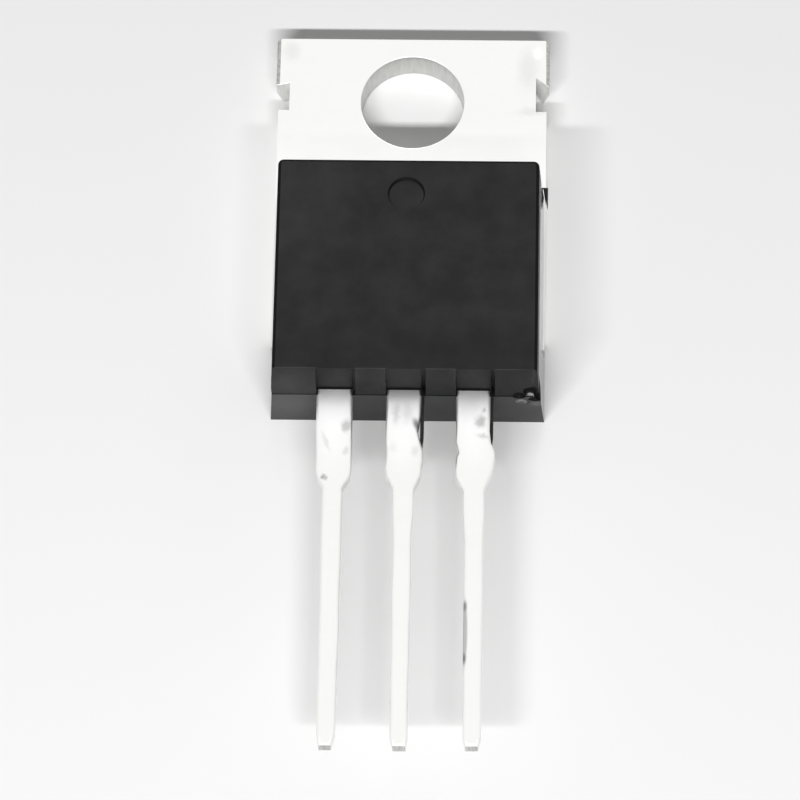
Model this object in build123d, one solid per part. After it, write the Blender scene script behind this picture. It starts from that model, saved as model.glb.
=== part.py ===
"""Power MOSFET in a three-lead tab package, with its metal back down and its leads along -Y.

Millimetres. The origin is the mounting hole's axis at the metal back, +Z comes out of the
black front, and +Y points to the tab's free end.
"""
from build123d import *
import math
import os

# Copper plate that the package is moulded on
plate_thickness = 1.27
plate_width = 10.0
plate_lower_end = -10.2
tab_end = 2.68              # hole's axis to the tab's free end
tab_width = 10.2            # across the sheared sides above the notches
tab_corner = 0.2
hole_diameter = 3.84
notch_outer_y = 0.68        # where each side notch starts at the sheared side
notch_rise_left = 0.12      # how much higher the notch's roof is at its inner end
notch_rise_right = 0.42
notch_depth = 0.4
notch_floor_y = -0.36
shear_depth = 0.7           # height of the broken-away zone along the sheared sides
shear_inset = 0.22
lock_step_length = 0.8      # ledge at the plate's lower end that the moulding grips
lock_step_height = 0.5

# Moulding-compound tooth that keys into each side of the plate, below its front face
tooth_top = -3.55
tooth_length = 0.74
tooth_height = 0.35
tooth_root = 0.17           # how far it reaches under the moulding's side
tooth_taper = 0.16
tooth_proud = 0.08          # the right tooth's burr past the plate's side

# Leads
lead_pitch = 2.54
lead_thickness = 0.5
lead_front = 3.08           # height of the leads' front faces over the metal back
lead_tip_y = -26.5
lead_width = 1.18
pin_width = 0.7
stub_start = 1.3            # from the moulding's end to the dam-bar stub
stub_full = 1.9
stub_end = 3.15
taper_length = 0.42
tip_width = 0.44
tip_length = 0.4
gate_stubs = (0.05, 0.04)   # how far the sheared dam-bar stubs stand out, left and right
drain_stubs = (0.07, 0.09)
source_stubs = (0.06, 0.19)
gate_sway = (-0.01, -0.02)  # how far each lead's middle stands right of its place: at the
drain_sway = (-0.045, 0.03)  # moulding, then at the tip
source_sway = (-0.07, 0.07)

# Inside ends of the leads
post_width = 2.5
post_length = 1.35
post_offset = 0.45          # the posts' centres, outwards of their leads
bond_inset = 0.38           # wire feet's centres, from the posts' inner ends
neck_width = 1.7
neck_run = 0.95             # length over which the drain lead climbs from the plate
neck_foot = 0.25

# Silicon and wires
die_width = 3.4
die_length = 4.4
die_thickness = 0.3
die_margin = 0.7            # from the plate's lower end to the chip
solder_thickness = 0.06
solder_margin = 0.15
source_wire = 0.34
gate_wire = 0.16
wire_loop = 0.5             # how far each wire arches over the straight line
wire_spacing = 0.9
foot_length_ratio = 1.8     # a bonded wire's flattened foot, over the wire's diameter
foot_width_ratio = 1.12
foot_height_ratio = 0.55
source_pad = (0.85, -0.55)  # from the chip's centre to the middle of the source wires
gate_pad = (0.36, 0.54)     # from the chip's lower left corner to the gate wire

# Moulded body
body_front = 4.44
body_shift = 0.035          # the moulding's centre, right of the plate's
plate_margin = 0.089        # how far the plate's sides stand out of the moulding
side_draft = 3.0            # degrees
front_top = -4.16
front_bottom = -12.53
top_draft = 4.5
parting_end = -12.9         # upper half's end at the parting plane
parting_ledge = 0.05        # the lower half stands this far out of the upper
lower_end_draft = 8.5
front_edge = 0.1            # rounding of the front face's edges
mark_diameter = 1.35        # round mark left by the ejector pin
mark_depth = 0.08
mark_center = (-0.07, -5.47)
pocket_depth = 0.15         # above each lead, at the parting plane
groove_width = 0.13         # right of each pocket
groove_depth = 0.3          # at the parting plane
groove_top_depth = 0.1
break_scoops = (            # corner break: x, y, z from the parting plane's corner, radius
    (-0.09, -0.12, 0.16, 0.3),
    (-0.37, -0.16, 0.2, 0.3),
    (-0.69, -0.13, 0.0, 0.25),
)
flash_width = 0.15          # resin flash beside the drain and source leads
flash_length = 1.95
flash_thickness = 0.3
flash_corner = (0.06, 0.39)  # cut off its outer corner, across and along
cut_margin = 1.0            # how far cutting tools run past what they cut


def tangent(degrees):
    """Slope of a wall with this much draft."""
    return math.tan(math.radians(degrees))


def prism_z(points, bottom, top):
    """Solid with a plan outline, between two heights."""
    return extrude(Pos(0, 0, bottom) * Polygon(*points, align=None), top - bottom, dir=(0, 0, 1))


def prism_x(points, left, right):
    """Solid with a side outline of (y, z) points, between two x positions."""
    side = Plane(origin=(left, 0, 0), x_dir=(0, 1, 0), z_dir=(1, 0, 0))
    return extrude(side * Polygon(*points, align=None), right - left, dir=(1, 0, 0))


def prism_y(points, start, end):
    """Solid with an end outline of (x, z) points, from one y position to a higher one."""
    side = Plane(origin=(0, end, 0), x_dir=(1, 0, 0), z_dir=(0, -1, 0))
    return extrude(side * Polygon(*points, align=None), end - start, dir=(0, -1, 0))


def body_side(side, height):
    """x of the moulding's drafted side wall at a height; side is -1 for left and 1 for right."""
    half = plate_width / 2 - plate_margin - (height - plate_thickness) * tangent(side_draft)
    return body_shift + side * half


def tooth_outline(side, proud):
    """Plan of the tooth at one side of the plate."""
    outer = side * (plate_width / 2 + proud)
    inner_top = body_side(side, plate_thickness) - side * tooth_root
    inner_low = inner_top + side * tooth_taper
    low = tooth_top - tooth_length
    return [(inner_top, tooth_top), (outer, tooth_top), (outer, low), (inner_low, low)]


def make_tooth(side, proud, rise=0):
    """Tooth of moulding compound, or with a rise the notch that it fills."""
    bottom = plate_thickness - tooth_height
    return prism_z(tooth_outline(side, proud), bottom, plate_thickness + rise)


def lead_outline(center, stubs, sway, start):
    """Plan of a lead from inside the moulding to its tip, with its dam-bar stubs."""
    half, pin, tip = lead_width / 2, pin_width / 2, tip_width / 2
    stub_y = parting_end - stub_end
    pin_y = stub_y - taper_length
    outline = []
    for side, stub in ((-1, stubs[0]), (1, stubs[1])):
        points = [
            (side * half, start),
            (side * half, parting_end - stub_start),
            (side * (half + stub), parting_end - stub_full),
            (side * (half + stub), stub_y),
            (side * pin, pin_y),
            (side * pin, lead_tip_y + tip_length),
            (side * tip, lead_tip_y),
        ]
        outline += points if side < 0 else points[::-1]
    top, end = sway
    middle = [center + top + (end - top) * max(0, stub_y - y) / (stub_y - lead_tip_y)
              for x, y in outline]
    return [(x + shift, y) for (x, y), shift in zip(outline, middle)]


def make_lead(center, stubs, sway, start):
    """Flat lead at the height of the lead plane."""
    outline = lead_outline(center, stubs, sway, start)
    return prism_z(outline, lead_front - lead_thickness, lead_front)


def make_post(side, stubs, sway):
    """Gate or source lead, with the post inside the moulding that its wires are bonded to."""
    center = side * lead_pitch
    post_end = parting_end + pocket_depth + post_length
    overlap = post_length / 2
    pad = Pos(center + side * post_offset, post_end) * Rectangle(
        post_width, post_length, align=(Align.CENTER, Align.MAX))
    pad = Pos(0, 0, lead_front - lead_thickness) * extrude(pad, amount=lead_thickness)
    return pad + make_lead(center, stubs, sway, post_end - overlap)


def make_plate():
    """Copper plate with the mounting hole, side notches, tooth notches and drain lead."""
    half, tab = plate_width / 2, tab_width / 2
    inner = half - notch_depth
    outline = []
    for side, rise in ((1, notch_rise_right), (-1, notch_rise_left)):
        points = [
            (side * tab, tab_end),
            (side * tab, notch_outer_y),
            (side * inner, notch_outer_y + rise),
            (side * inner, notch_floor_y),
            (side * half, notch_floor_y),
            (side * half, plate_lower_end),
        ]
        outline += points if side > 0 else points[::-1]
    plate = prism_z(outline, 0, plate_thickness)
    corners = plate.edges().filter_by(Axis.Z).group_by(Axis.Y)[-1]
    plate = fillet(corners, tab_corner)

    # The sheared sides of the tab break inwards towards the back.
    for side in (-1, 1):
        wedge = [
            (side * (tab + cut_margin), shear_depth),
            (side * tab, shear_depth),
            (side * (tab - shear_inset), 0),
            (side * (tab - shear_inset), -cut_margin),
            (side * (tab + cut_margin), -cut_margin),
        ]
        plate -= prism_y(wedge, notch_floor_y, tab_end + cut_margin)

    # A ledge round the lower end lies inside the moulding.
    ledge_y = plate_lower_end + lock_step_length
    plate -= Pos(0, ledge_y, 0) * Box(
        plate_width + cut_margin, lock_step_length + cut_margin, lock_step_height,
        align=(Align.CENTER, Align.MAX, Align.MIN))

    for side in (-1, 1):
        plate -= make_tooth(side, cut_margin, cut_margin)

    plate -= Pos(0, 0, plate_thickness / 2) * Cylinder(hole_diameter / 2, 2 * plate_thickness)
    lead = make_lead(0, drain_stubs, drain_sway, parting_end + pocket_depth)
    return plate + make_neck() + lead


def make_neck():
    """Bend that carries the drain lead up from the plate, of the leads' thickness."""
    low, high = plate_thickness - lead_thickness, lead_front - lead_thickness
    start = plate_lower_end - neck_foot
    end = start - neck_run
    slope = math.atan2(high - low, neck_run)
    shift = lead_thickness * math.tan(slope / 2)
    points = [
        (plate_lower_end + lock_step_length / 2, low),
        (start, low),
        (end, high),
        (parting_end + pocket_depth, high),
        (parting_end + pocket_depth, lead_front),
        (end + shift, lead_front),
        (start + shift, plate_thickness),
        (plate_lower_end + lock_step_length / 2, plate_thickness),
    ]
    return prism_x(points, -neck_width / 2, neck_width / 2)


def die_center():
    """y of the chip's centre."""
    return plate_lower_end + die_margin + die_length / 2


def make_die():
    """Silicon chip on its layer of solder."""
    bottom = plate_thickness + solder_thickness
    return Pos(0, die_center(), bottom) * Box(
        die_width, die_length, die_thickness, align=(Align.CENTER, Align.CENTER, Align.MIN))


def make_solder():
    """Solder layer between the plate and the chip, squeezed out a little past it."""
    return Pos(0, die_center(), plate_thickness) * Box(
        die_width + 2 * solder_margin, die_length + 2 * solder_margin, solder_thickness,
        align=(Align.CENTER, Align.CENTER, Align.MIN))


def make_wire(diameter, start, end):
    """Bonded wire that arches from the chip to a post, with a flattened foot at each end.

    start and end are the middles of the feet, on the faces that they are bonded to.
    """
    foot_length = foot_length_ratio * diameter
    foot_width = foot_width_ratio * diameter
    foot_height = foot_height_ratio * diameter
    heading = math.degrees(math.atan2(end[1] - start[1], end[0] - start[0]))
    foot = Rot(0, 0, heading) * Box(
        foot_length, foot_width, foot_height, align=(Align.CENTER, Align.CENTER, Align.MIN))
    ends = [Vector(x, y, z + foot_height) for x, y, z in (start, end)]
    middle = (ends[0] + ends[1]) / 2 + Vector(0, 0, wire_loop)
    path = ThreePointArc(ends[0], middle, ends[1])
    bow = sweep(Plane(origin=ends[0], z_dir=path % 0) * Circle(diameter / 2), path=path)
    return Pos(*start) * foot + Pos(*end) * foot + bow


def make_wires():
    """The two source wires and the gate wire, by node name."""
    die_top = plate_thickness + solder_thickness + die_thickness
    post_x = lead_pitch + post_offset
    post_y = parting_end + pocket_depth + post_length - bond_inset
    wires = {}
    for number, offset in enumerate((-wire_spacing / 2, wire_spacing / 2), start=1):
        start = (source_pad[0] + offset, die_center() + source_pad[1], die_top)
        end = (post_x + offset, post_y, lead_front)
        wires[f"source_bond_wire_{number}"] = make_wire(source_wire, start, end)
    gate_x = -die_width / 2 + gate_pad[0]
    gate_y = die_center() - die_length / 2 + gate_pad[1]
    wires["gate_bond_wire"] = make_wire(
        gate_wire, (gate_x, gate_y, die_top), (-post_x, post_y, lead_front))
    return wires


def body_block():
    """The moulding's outer form, with its draft and its stepped parting line."""
    lower_end = parting_end - parting_ledge + lead_front * tangent(lower_end_draft)
    profile = [
        (front_top + body_front * tangent(top_draft), 0),
        (front_top, body_front),
        (front_bottom, body_front),
        (parting_end, lead_front),
        (parting_end - parting_ledge, lead_front),
        (lower_end, 0),
    ]
    reach = plate_width
    block = prism_x(profile, -reach, reach)
    sides = [
        (body_side(-1, 0), 0), (body_side(-1, body_front), body_front),
        (body_side(1, body_front), body_front), (body_side(1, 0), 0),
    ]
    block &= prism_y(sides, parting_end - cut_margin, 0)
    return fillet(block.faces().sort_by(Axis.Z)[-1].edges(), front_edge)


def pocket_cutter(center, sway):
    """Shallow pocket over a lead, with the narrow groove along its right side."""
    left, right = center + sway[0] - lead_width / 2, center + sway[0] + lead_width / 2
    inner = parting_end + pocket_depth
    pocket = [
        (inner, lead_front), (front_bottom, body_front), (front_bottom - cut_margin, body_front),
        (parting_end - cut_margin, lead_front),
    ]
    groove = [
        (parting_end + groove_depth, lead_front), (front_bottom + groove_top_depth, body_front),
        (front_bottom - cut_margin, body_front), (parting_end - cut_margin, lead_front),
    ]
    return prism_x(pocket, left, right) + prism_x(groove, right, right + groove_width)


def corner_break():
    """Conchoidal break at the lower right corner, along the parting plane."""
    corner_x = body_side(1, lead_front)
    scoops = [Pos(corner_x + x, parting_end + y, lead_front + z) * Sphere(radius)
              for x, y, z, radius in break_scoops]
    return scoops[0] + scoops[1:]


def make_flash(center, stubs, sway):
    """Thin web of moulding compound between the body and a lead's right dam-bar stub."""
    middle = center + sway[0]
    outer = middle + lead_width / 2 + flash_width
    end = parting_end - flash_length
    outline = [
        (middle, parting_end), (outer, parting_end), (outer, end + flash_corner[1]),
        (outer - flash_corner[0], end), (middle, end),
    ]
    bottom = lead_front - lead_thickness
    web = prism_z(outline, bottom, bottom + flash_thickness)
    return web - make_lead(center, stubs, sway, parting_end + pocket_depth)


def make_body(inner_pieces):
    """Moulded body, shaped round everything that it holds."""
    body = body_block()
    body += make_tooth(-1, 0) + make_tooth(1, tooth_proud)
    for center, sway in ((-lead_pitch, gate_sway), (0, drain_sway), (lead_pitch, source_sway)):
        body -= pocket_cutter(center, sway)
    body -= Pos(*mark_center, body_front) * Cylinder(mark_diameter / 2, 2 * mark_depth)
    body -= corner_break()
    body += make_flash(0, drain_stubs, drain_sway)
    body += make_flash(lead_pitch, source_stubs, source_sway)
    for piece in inner_pieces:
        body -= piece
    return body


parts = {
    "plate_with_drain_lead": make_plate(),
    "gate_lead": make_post(-1, gate_stubs, gate_sway),
    "source_lead": make_post(1, source_stubs, source_sway),
    "silicon_die": make_die(),
    "die_attach_solder": make_solder(),
}
parts.update(make_wires())
parts["moulded_body"] = make_body(list(parts.values()))

os.makedirs("parts", exist_ok=True)
for node, shape in parts.items():
    export_step(shape, f"parts/{node}.step")
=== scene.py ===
"""Looks of the power MOSFET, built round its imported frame.

Each sub-assembly is a class that holds its sizes, in millimetres, and builds and dresses its
mesh. Each finish is a frozen class named for its material and for how its surface was made.
The frame has the hole's axis at the origin, +Z out of the black front and +Y to the tab's end.
"""

import logging
import math
from dataclasses import dataclass
from enum import Enum
from typing import Any, Callable, Iterable, Optional

import bmesh
import bpy
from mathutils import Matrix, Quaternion, Vector, noise

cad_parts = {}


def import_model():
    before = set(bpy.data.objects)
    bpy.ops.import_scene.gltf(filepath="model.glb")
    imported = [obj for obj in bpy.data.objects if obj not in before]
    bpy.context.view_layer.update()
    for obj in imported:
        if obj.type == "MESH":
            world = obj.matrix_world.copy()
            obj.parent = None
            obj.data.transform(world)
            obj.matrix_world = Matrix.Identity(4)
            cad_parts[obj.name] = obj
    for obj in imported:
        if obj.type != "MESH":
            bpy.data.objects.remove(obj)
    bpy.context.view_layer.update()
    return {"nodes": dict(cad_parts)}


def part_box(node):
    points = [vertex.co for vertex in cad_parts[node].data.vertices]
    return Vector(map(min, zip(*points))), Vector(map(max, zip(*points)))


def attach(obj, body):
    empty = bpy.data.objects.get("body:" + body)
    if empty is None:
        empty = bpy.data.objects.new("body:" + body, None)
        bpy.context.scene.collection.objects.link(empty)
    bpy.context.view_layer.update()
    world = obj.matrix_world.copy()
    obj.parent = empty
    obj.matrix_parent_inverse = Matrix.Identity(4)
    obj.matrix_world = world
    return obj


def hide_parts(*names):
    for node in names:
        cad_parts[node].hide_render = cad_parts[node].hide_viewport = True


MM = 0.001
BODY = "root"
NEAR = 1e-4                     # millimetres; places closer than this are at one level
MERGE = 1e-5                    # millimetres; corners closer than this are one
SLACK = 0.01                    # millimetres; room round a zone that is picked by place
FLAT_AREA = 0.5                 # square millimetres; a larger face stays flat
LEVEL = 0.99999                 # a face whose normal has more of Z than this stays flat too
SHARP = 40                      # degrees; a sharper fold isn't smoothed over
PUNCHED = 50                    # degrees; sharper folds in the metal are rounded
MOULDED = 40                    # degrees; sharper folds in the moulding are rounded
UPRIGHT = 0.5                   # a face whose normal has less of an axis than this runs along it
Colour = tuple[float, float, float, float]
Point = tuple[float, float, float]
log = logging.getLogger("mosfet")


def linear(code: str) -> Colour:
    """Turns an sRGB hex colour into linear RGBA.

    Args:
        code: Colour such as "#E8E8E6".

    Returns:
        Linear red, green, blue and an alpha of 1.
    """
    shares = [int(code[i:i + 2], 16) / 255 for i in (1, 3, 5)]
    red, green, blue = (s / 12.92 if s <= 0.04045 else ((s + 0.055) / 1.055) ** 2.4 for s in shares)
    return red, green, blue, 1.0


def add_node(tree: bpy.types.NodeTree, kind: str, inputs: Optional[dict] = None, **settings: Any) -> Any:
    """Adds a node with its settings and links.

    Args:
        tree: Node tree that gets it.
        kind: Type of the node, such as "ShaderNodeMix".
        inputs: Value or output socket for each input, by name or number.
        settings: Properties of the node.

    Returns:
        The new node.
    """
    node = tree.nodes.new(kind)
    for name, value in settings.items():
        setattr(node, name, value)
    for name, value in (inputs or {}).items():
        if isinstance(value, bpy.types.NodeSocket):
            tree.links.new(value, node.inputs[name])
        else:
            node.inputs[name].default_value = value
    return node


def put(name: str, data: bpy.types.ID) -> bpy.types.Object:
    """Adds an object to the scene.

    Args:
        name: Its name.
        data: Its mesh, light or camera.

    Returns:
        The object.
    """
    thing = bpy.data.objects.new(name, data)
    bpy.context.scene.collection.objects.link(thing)
    return thing


def extent(node: str) -> tuple[Vector, Vector]:
    """Lowest and highest corner of a CAD node, in millimetres."""
    low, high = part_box(node)
    return low / MM, high / MM


class Slot(Enum):
    """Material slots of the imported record."""

    METAL = "tinned_copper"
    RESIN = "black_epoxy"


class Metal(Enum):
    """Finishes of the plate and the leads, by material number."""

    TIN = 0
    CUT_END = 1
    SHEARED = 2
    HOLE_WALL = 3
    # paler and less metallic: painted light on the notch walls
    NOTCH_WALL = 4


class Resin(Enum):
    """Finishes of the moulding, by material number."""

    FRONT = 0
    # near-black, with painted shade in its hollows and painted glints
    FRACTURE = 1
    # near-black: paints the shade on rounded edges, the bleed lips and the pin mark's upper wall
    EDGE = 2
    WALL = 3
    # darker than the front: painted shade in the lead pockets
    POCKET = 4


@dataclass(frozen=True)
class Grip:
    """Sizes that the plate and the moulding share, where the resin grips the metal."""

    front: float = 1.27         # height of the plate's front face
    plate_end: float = -10.2
    ledge: float = -9.4         # the resin reaches under the plate up to here
    ledge_height: float = 0.5
    tooth_top: float = -3.55    # teeth of resin in the plate's sides
    tooth_low: float = -4.29
    tooth_bite: float = 0.26
    tooth_floor: float = 0.92


@dataclass(frozen=True)
class Mark:
    """Soft-edged patch of colour on a surface, in millimetres: a stain, rub or dust patch, or painted
    light or shade.
    """

    place: Point
    reach: Point                # half sizes
    strength: float             # how far the colour goes to the mark's own
    colour: str = "#8E8E8C"
    turn: float = 0.0           # degrees about Z
    edge: float = 0.85          # how soft the edge is, from 0, hard, to 1
    ragged: bool = True         # noise breaks up its edge


class Workpiece:
    """Mesh under construction, in millimetres, with the operations that shape it."""

    def __init__(self) -> None:
        """Starts with an empty mesh."""
        self.bm = bmesh.new()

    def face(self, points: Iterable[Point]) -> bmesh.types.BMFace:
        """Adds one face through the given points."""
        return self.bm.faces.new([self.bm.verts.new(p) for p in points])

    def cut(self, place: Point, normal: Point, keep: Optional[Callable[[Vector], bool]] = None) -> None:
        """Cuts faces along a plane, without removing anything.

        Args:
            place: Point on the plane.
            normal: The plane's normal.
            keep: Which faces are cut, tested on each face's middle; all of them if left out.
        """
        faces = [f for f in self.bm.faces if keep is None or keep(f.calc_center_median())]
        edges = {e for f in faces for e in f.edges}
        verts = {v for f in faces for v in f.verts}
        bmesh.ops.bisect_plane(self.bm, geom=[*faces, *edges, *verts], plane_co=place,
                               plane_no=normal, dist=MERGE)

    def extrude(self, faces: list[bmesh.types.BMFace], rise: Point) -> list[bmesh.types.BMFace]:
        """Extrudes faces as one region.

        Args:
            faces: Faces to extrude.
            rise: How far they move.

        Returns:
            The moved faces.
        """
        edges = {e for f in faces for e in f.edges}
        made = bmesh.ops.extrude_face_region(self.bm, geom=[*faces, *edges])["geom"]
        verts = [g for g in made if isinstance(g, bmesh.types.BMVert)]
        bmesh.ops.translate(self.bm, verts=verts, vec=rise)
        return [g for g in made if isinstance(g, bmesh.types.BMFace)]

    def extrude_to(self, ring: list[bmesh.types.BMVert], face: bmesh.types.BMFace,
                   points: list[Point]) -> tuple[list[bmesh.types.BMVert], bmesh.types.BMFace]:
        """Extrudes a face and moves each copied corner to its own place.

        Args:
            ring: The face's corners.
            face: Face to extrude.
            points: New place of each corner, in the ring's order.

        Returns:
            The new corners, in the same order, and the new face.
        """
        made = bmesh.ops.extrude_face_region(self.bm, geom=[face, *face.edges])["geom"]
        copies = [g for g in made if isinstance(g, bmesh.types.BMVert)]
        moved = [min(copies, key=lambda c: (c.co - v.co).length) for v in ring]
        for vert, point in zip(moved, points):
            vert.co = point
        return moved, next(g for g in made if isinstance(g, bmesh.types.BMFace))

    def corners(self, points: Iterable[Point]) -> list[bmesh.types.BMVert]:
        """Finds the corner nearest to each of the given points."""
        return [min(self.bm.verts, key=lambda v, p=p: (v.co - Vector(p)).length) for p in points]

    def creases(self, least: float, keep: Optional[Callable[[Vector], bool]] = None
                ) -> list[bmesh.types.BMEdge]:
        """Finds edges where two faces meet at an angle.

        Args:
            least: Smallest angle in degrees.
            keep: Which edges are wanted, tested on each edge's middle.

        Returns:
            The edges.
        """
        self.bm.normal_update()
        return [e for e in self.bm.edges
                if e.is_manifold and e.calc_face_angle(0) > math.radians(least)
                and (keep is None or keep((e.verts[0].co + e.verts[1].co) / 2))]

    def roll(self, edges: list[bmesh.types.BMEdge], radius: float, segments: int = 3) -> None:
        """Rounds edges to a radius in millimetres."""
        bmesh.ops.bevel(self.bm, geom=edges, offset=radius, offset_type="OFFSET", segments=segments,
                        profile=0.5, affect="EDGES", clamp_overlap=True, material=-1)

    def round_recess(self, center: tuple[float, float], radius: float, half: float, cuts: int
                     ) -> bmesh.types.BMFace:
        """Cuts a circle into the upper face, round a point.

        Args:
            center: x and y of the circle.
            radius: Its radius.
            half: Half the side of the square that is cut out round it first.
            cuts: How many points each side of the square gets.

        Returns:
            The round face.
        """
        x, y = center
        top = max(v.co.z for v in self.bm.verts)

        def on_top(middle: Vector) -> bool:
            """Whether a point lies on the upper face."""
            return middle.z > top - NEAR

        def square_face() -> bmesh.types.BMFace:
            """Finds the square round the circle's middle."""
            return min((f for f in self.bm.faces if on_top(f.calc_center_median())),
                       key=lambda f: (f.calc_center_bounds() - Vector((x, y, top))).length)

        for place, normal in (((x - half, y, 0), (1, 0, 0)), ((x + half, y, 0), (1, 0, 0)),
                              ((x, y - half, 0), (0, 1, 0)), ((x, y + half, 0), (0, 1, 0))):
            self.cut(place, normal, on_top)
        bmesh.ops.subdivide_edges(self.bm, edges=list(square_face().edges), cuts=cuts)
        square = square_face()
        bmesh.ops.inset_individual(self.bm, faces=[square], thickness=(half - radius) / 2)
        ring = sorted(square.verts, key=lambda v: math.atan2(v.co.y - y, v.co.x - x))
        for number, vert in enumerate(ring):
            turn = -math.pi + (number + 0.5) * 2 * math.pi / len(ring)
            vert.co.x, vert.co.y = x + radius * math.cos(turn), y + radius * math.sin(turn)
        return square

    def finish(self, name: str, finishes: list[bpy.types.Material], slot: Slot, node: str
               ) -> bpy.types.Object:
        """Makes the finished piece and seats it in the frame.

        Args:
            name: Name of the piece.
            finishes: Materials, in the order of the faces' material numbers.
            slot: Material slot of the imported record; not used.
            node: CAD node that it stands for.

        Returns:
            The piece.
        """
        bmesh.ops.remove_doubles(self.bm, verts=list(self.bm.verts), dist=MERGE)
        bmesh.ops.recalc_face_normals(self.bm, faces=list(self.bm.faces))
        for face in self.bm.faces:
            face.smooth = face.calc_area() < FLAT_AREA and abs(face.normal.z) < LEVEL
        for edge in self.bm.edges:
            edge.smooth = not edge.is_manifold or edge.calc_face_angle(0) < math.radians(SHARP)
        bmesh.ops.scale(self.bm, vec=(MM, MM, MM), verts=list(self.bm.verts))
        mesh = bpy.data.meshes.new(name)
        self.bm.to_mesh(mesh)
        self.bm.free()
        for finish in finishes:
            mesh.materials.append(finish)
        piece = put(name, mesh)
        weighted = piece.modifiers.new("flat_faces_first", "WEIGHTED_NORMAL")
        weighted.keep_sharp = True
        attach(piece, BODY)
        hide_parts(node)
        log.info("%s: %d faces", name, len(mesh.polygons))
        return piece


@dataclass(frozen=True)
class Finish:
    """Base of the finishes: two colours blended by noise, marks over them, and fine relief."""

    marks: tuple[Mark, ...] = ()
    name: str = "finish"
    base: str = "#808080"
    cloud: str = "#808080"      # colour of the patches
    cloud_size: float = 1.0     # width of the patches
    cloud_detail: float = 3.0
    cloud_band: tuple[float, float] = (0.35, 0.65)      # noise levels between which they begin
    run: float = 1.0            # how many times longer than wide they are, along Z
    roughness: float = 0.5
    cloud_roughness: Optional[float] = None             # the base's if left out
    metallic: float = 1.0
    specular: float = 0.5
    grain_size: Optional[float] = None                  # the relief follows the patches if left out
    grain_detail: float = 3.0
    grain_height: float = 0.003
    grain_strength: float = 0.3
    rag_scale: float = 5.0      # noise that breaks up the marks' edges, in waves per millimetre
    rag_reach: float = 0.26     # and how far it moves them

    def build(self) -> bpy.types.Material:
        """Makes the material.

        Returns:
            The material, in object space.
        """
        material = bpy.data.materials.new(self.name)
        material.use_nodes = True
        tree = material.node_tree
        shader = tree.nodes["Principled BSDF"]
        place = add_node(tree, "ShaderNodeTexCoord").outputs["Object"]
        place = add_node(tree, "ShaderNodeVectorMath", {0: place, "Scale": 1 / MM},
                         operation="SCALE").outputs["Vector"]
        spread = place
        if self.run != 1.0:
            spread = add_node(tree, "ShaderNodeVectorMath", {
                0: place, 1: (1.0, 1.0, 1 / self.run)}, operation="MULTIPLY").outputs["Vector"]
        clouds = add_node(tree, "ShaderNodeTexNoise", {
            "Vector": spread, "Scale": 1 / self.cloud_size, "Detail": self.cloud_detail})
        share = add_node(tree, "ShaderNodeMapRange", {
            "Value": clouds.outputs["Fac"], "From Min": self.cloud_band[0],
            "From Max": self.cloud_band[1]}).outputs[0]
        colour = add_node(tree, "ShaderNodeMix", {
            0: share, 6: linear(self.base), 7: linear(self.cloud)}, data_type="RGBA").outputs[2]
        tree.links.new(self.marked(tree, place, colour), shader.inputs["Base Color"])
        shader.inputs["Roughness"].default_value = self.roughness
        if self.cloud_roughness is not None:
            gloss = add_node(tree, "ShaderNodeMapRange", {
                "Value": share, "To Min": self.roughness, "To Max": self.cloud_roughness})
            tree.links.new(gloss.outputs[0], shader.inputs["Roughness"])
        shader.inputs["Metallic"].default_value = self.metallic
        shader.inputs["Specular IOR Level"].default_value = self.specular
        grain = clouds
        if self.grain_size is not None:
            grain = add_node(tree, "ShaderNodeTexNoise", {
                "Vector": place, "Scale": 1 / self.grain_size, "Detail": self.grain_detail})
        bump = add_node(tree, "ShaderNodeBump", {
            "Height": grain.outputs["Fac"], "Distance": self.grain_height * MM,
            "Strength": self.grain_strength})
        tree.links.new(bump.outputs["Normal"], shader.inputs["Normal"])
        return material

    def marked(self, tree: bpy.types.NodeTree, place: Any, colour: Any) -> Any:
        """Lays the soft-edged marks over a colour, ragged ones with edges broken up by noise.

        Args:
            tree: Node tree.
            place: Coordinates in millimetres.
            colour: Socket of the clean colour.

        Returns:
            Socket of the marked colour; the clean one if there are no marks.
        """
        if not self.marks:
            return colour
        ragged = add_node(tree, "ShaderNodeTexNoise", {
            "Vector": place, "Scale": self.rag_scale, "Detail": 3.0})
        centred = add_node(tree, "ShaderNodeVectorMath", {
            0: ragged.outputs["Color"], 1: (0.5, 0.5, 0.5)}, operation="SUBTRACT")
        warped = add_node(tree, "ShaderNodeVectorMath", {
            0: centred.outputs["Vector"], 1: (self.rag_reach, self.rag_reach, 0.0), 2: place},
            operation="MULTIPLY_ADD")
        for mark in self.marks:
            local = add_node(tree, "ShaderNodeMapping", {
                "Vector": warped.outputs["Vector"] if mark.ragged else place,
                "Location": mark.place, "Scale": mark.reach,
                "Rotation": (0, 0, math.radians(mark.turn))}, vector_type="TEXTURE")
            ball = add_node(tree, "ShaderNodeTexGradient", {"Vector": local.outputs["Vector"]},
                            gradient_type="SPHERICAL")
            share = add_node(tree, "ShaderNodeMapRange", {
                "Value": ball.outputs["Fac"], "From Max": mark.edge, "To Max": mark.strength},
                interpolation_type="SMOOTHSTEP")
            layer = add_node(tree, "ShaderNodeMix", {
                0: share.outputs[0], 6: colour, 7: linear(mark.colour)}, data_type="RGBA")
            colour = layer.outputs[2]
        return colour


@dataclass(frozen=True)
class MattTinPlate(Finish):
    """Matt tin, electroplated over copper strip: pale and soft, with faint rubs and stains."""

    name: str = "matt_tin_plate"
    base: str = "#F2F2F0"
    cloud: str = "#EAEAE8"
    cloud_size: float = 2.4
    cloud_detail: float = 4.0
    cloud_band: tuple[float, float] = (0.38, 0.68)
    roughness: float = 0.34     # where the tin is rubbed
    cloud_roughness: Optional[float] = 0.44
    grain_size: Optional[float] = 0.09      # its own grain is finer than shows; drawn this coarse
    grain_detail: float = 2.0
    grain_height: float = 0.004
    grain_strength: float = 0.35


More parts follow.
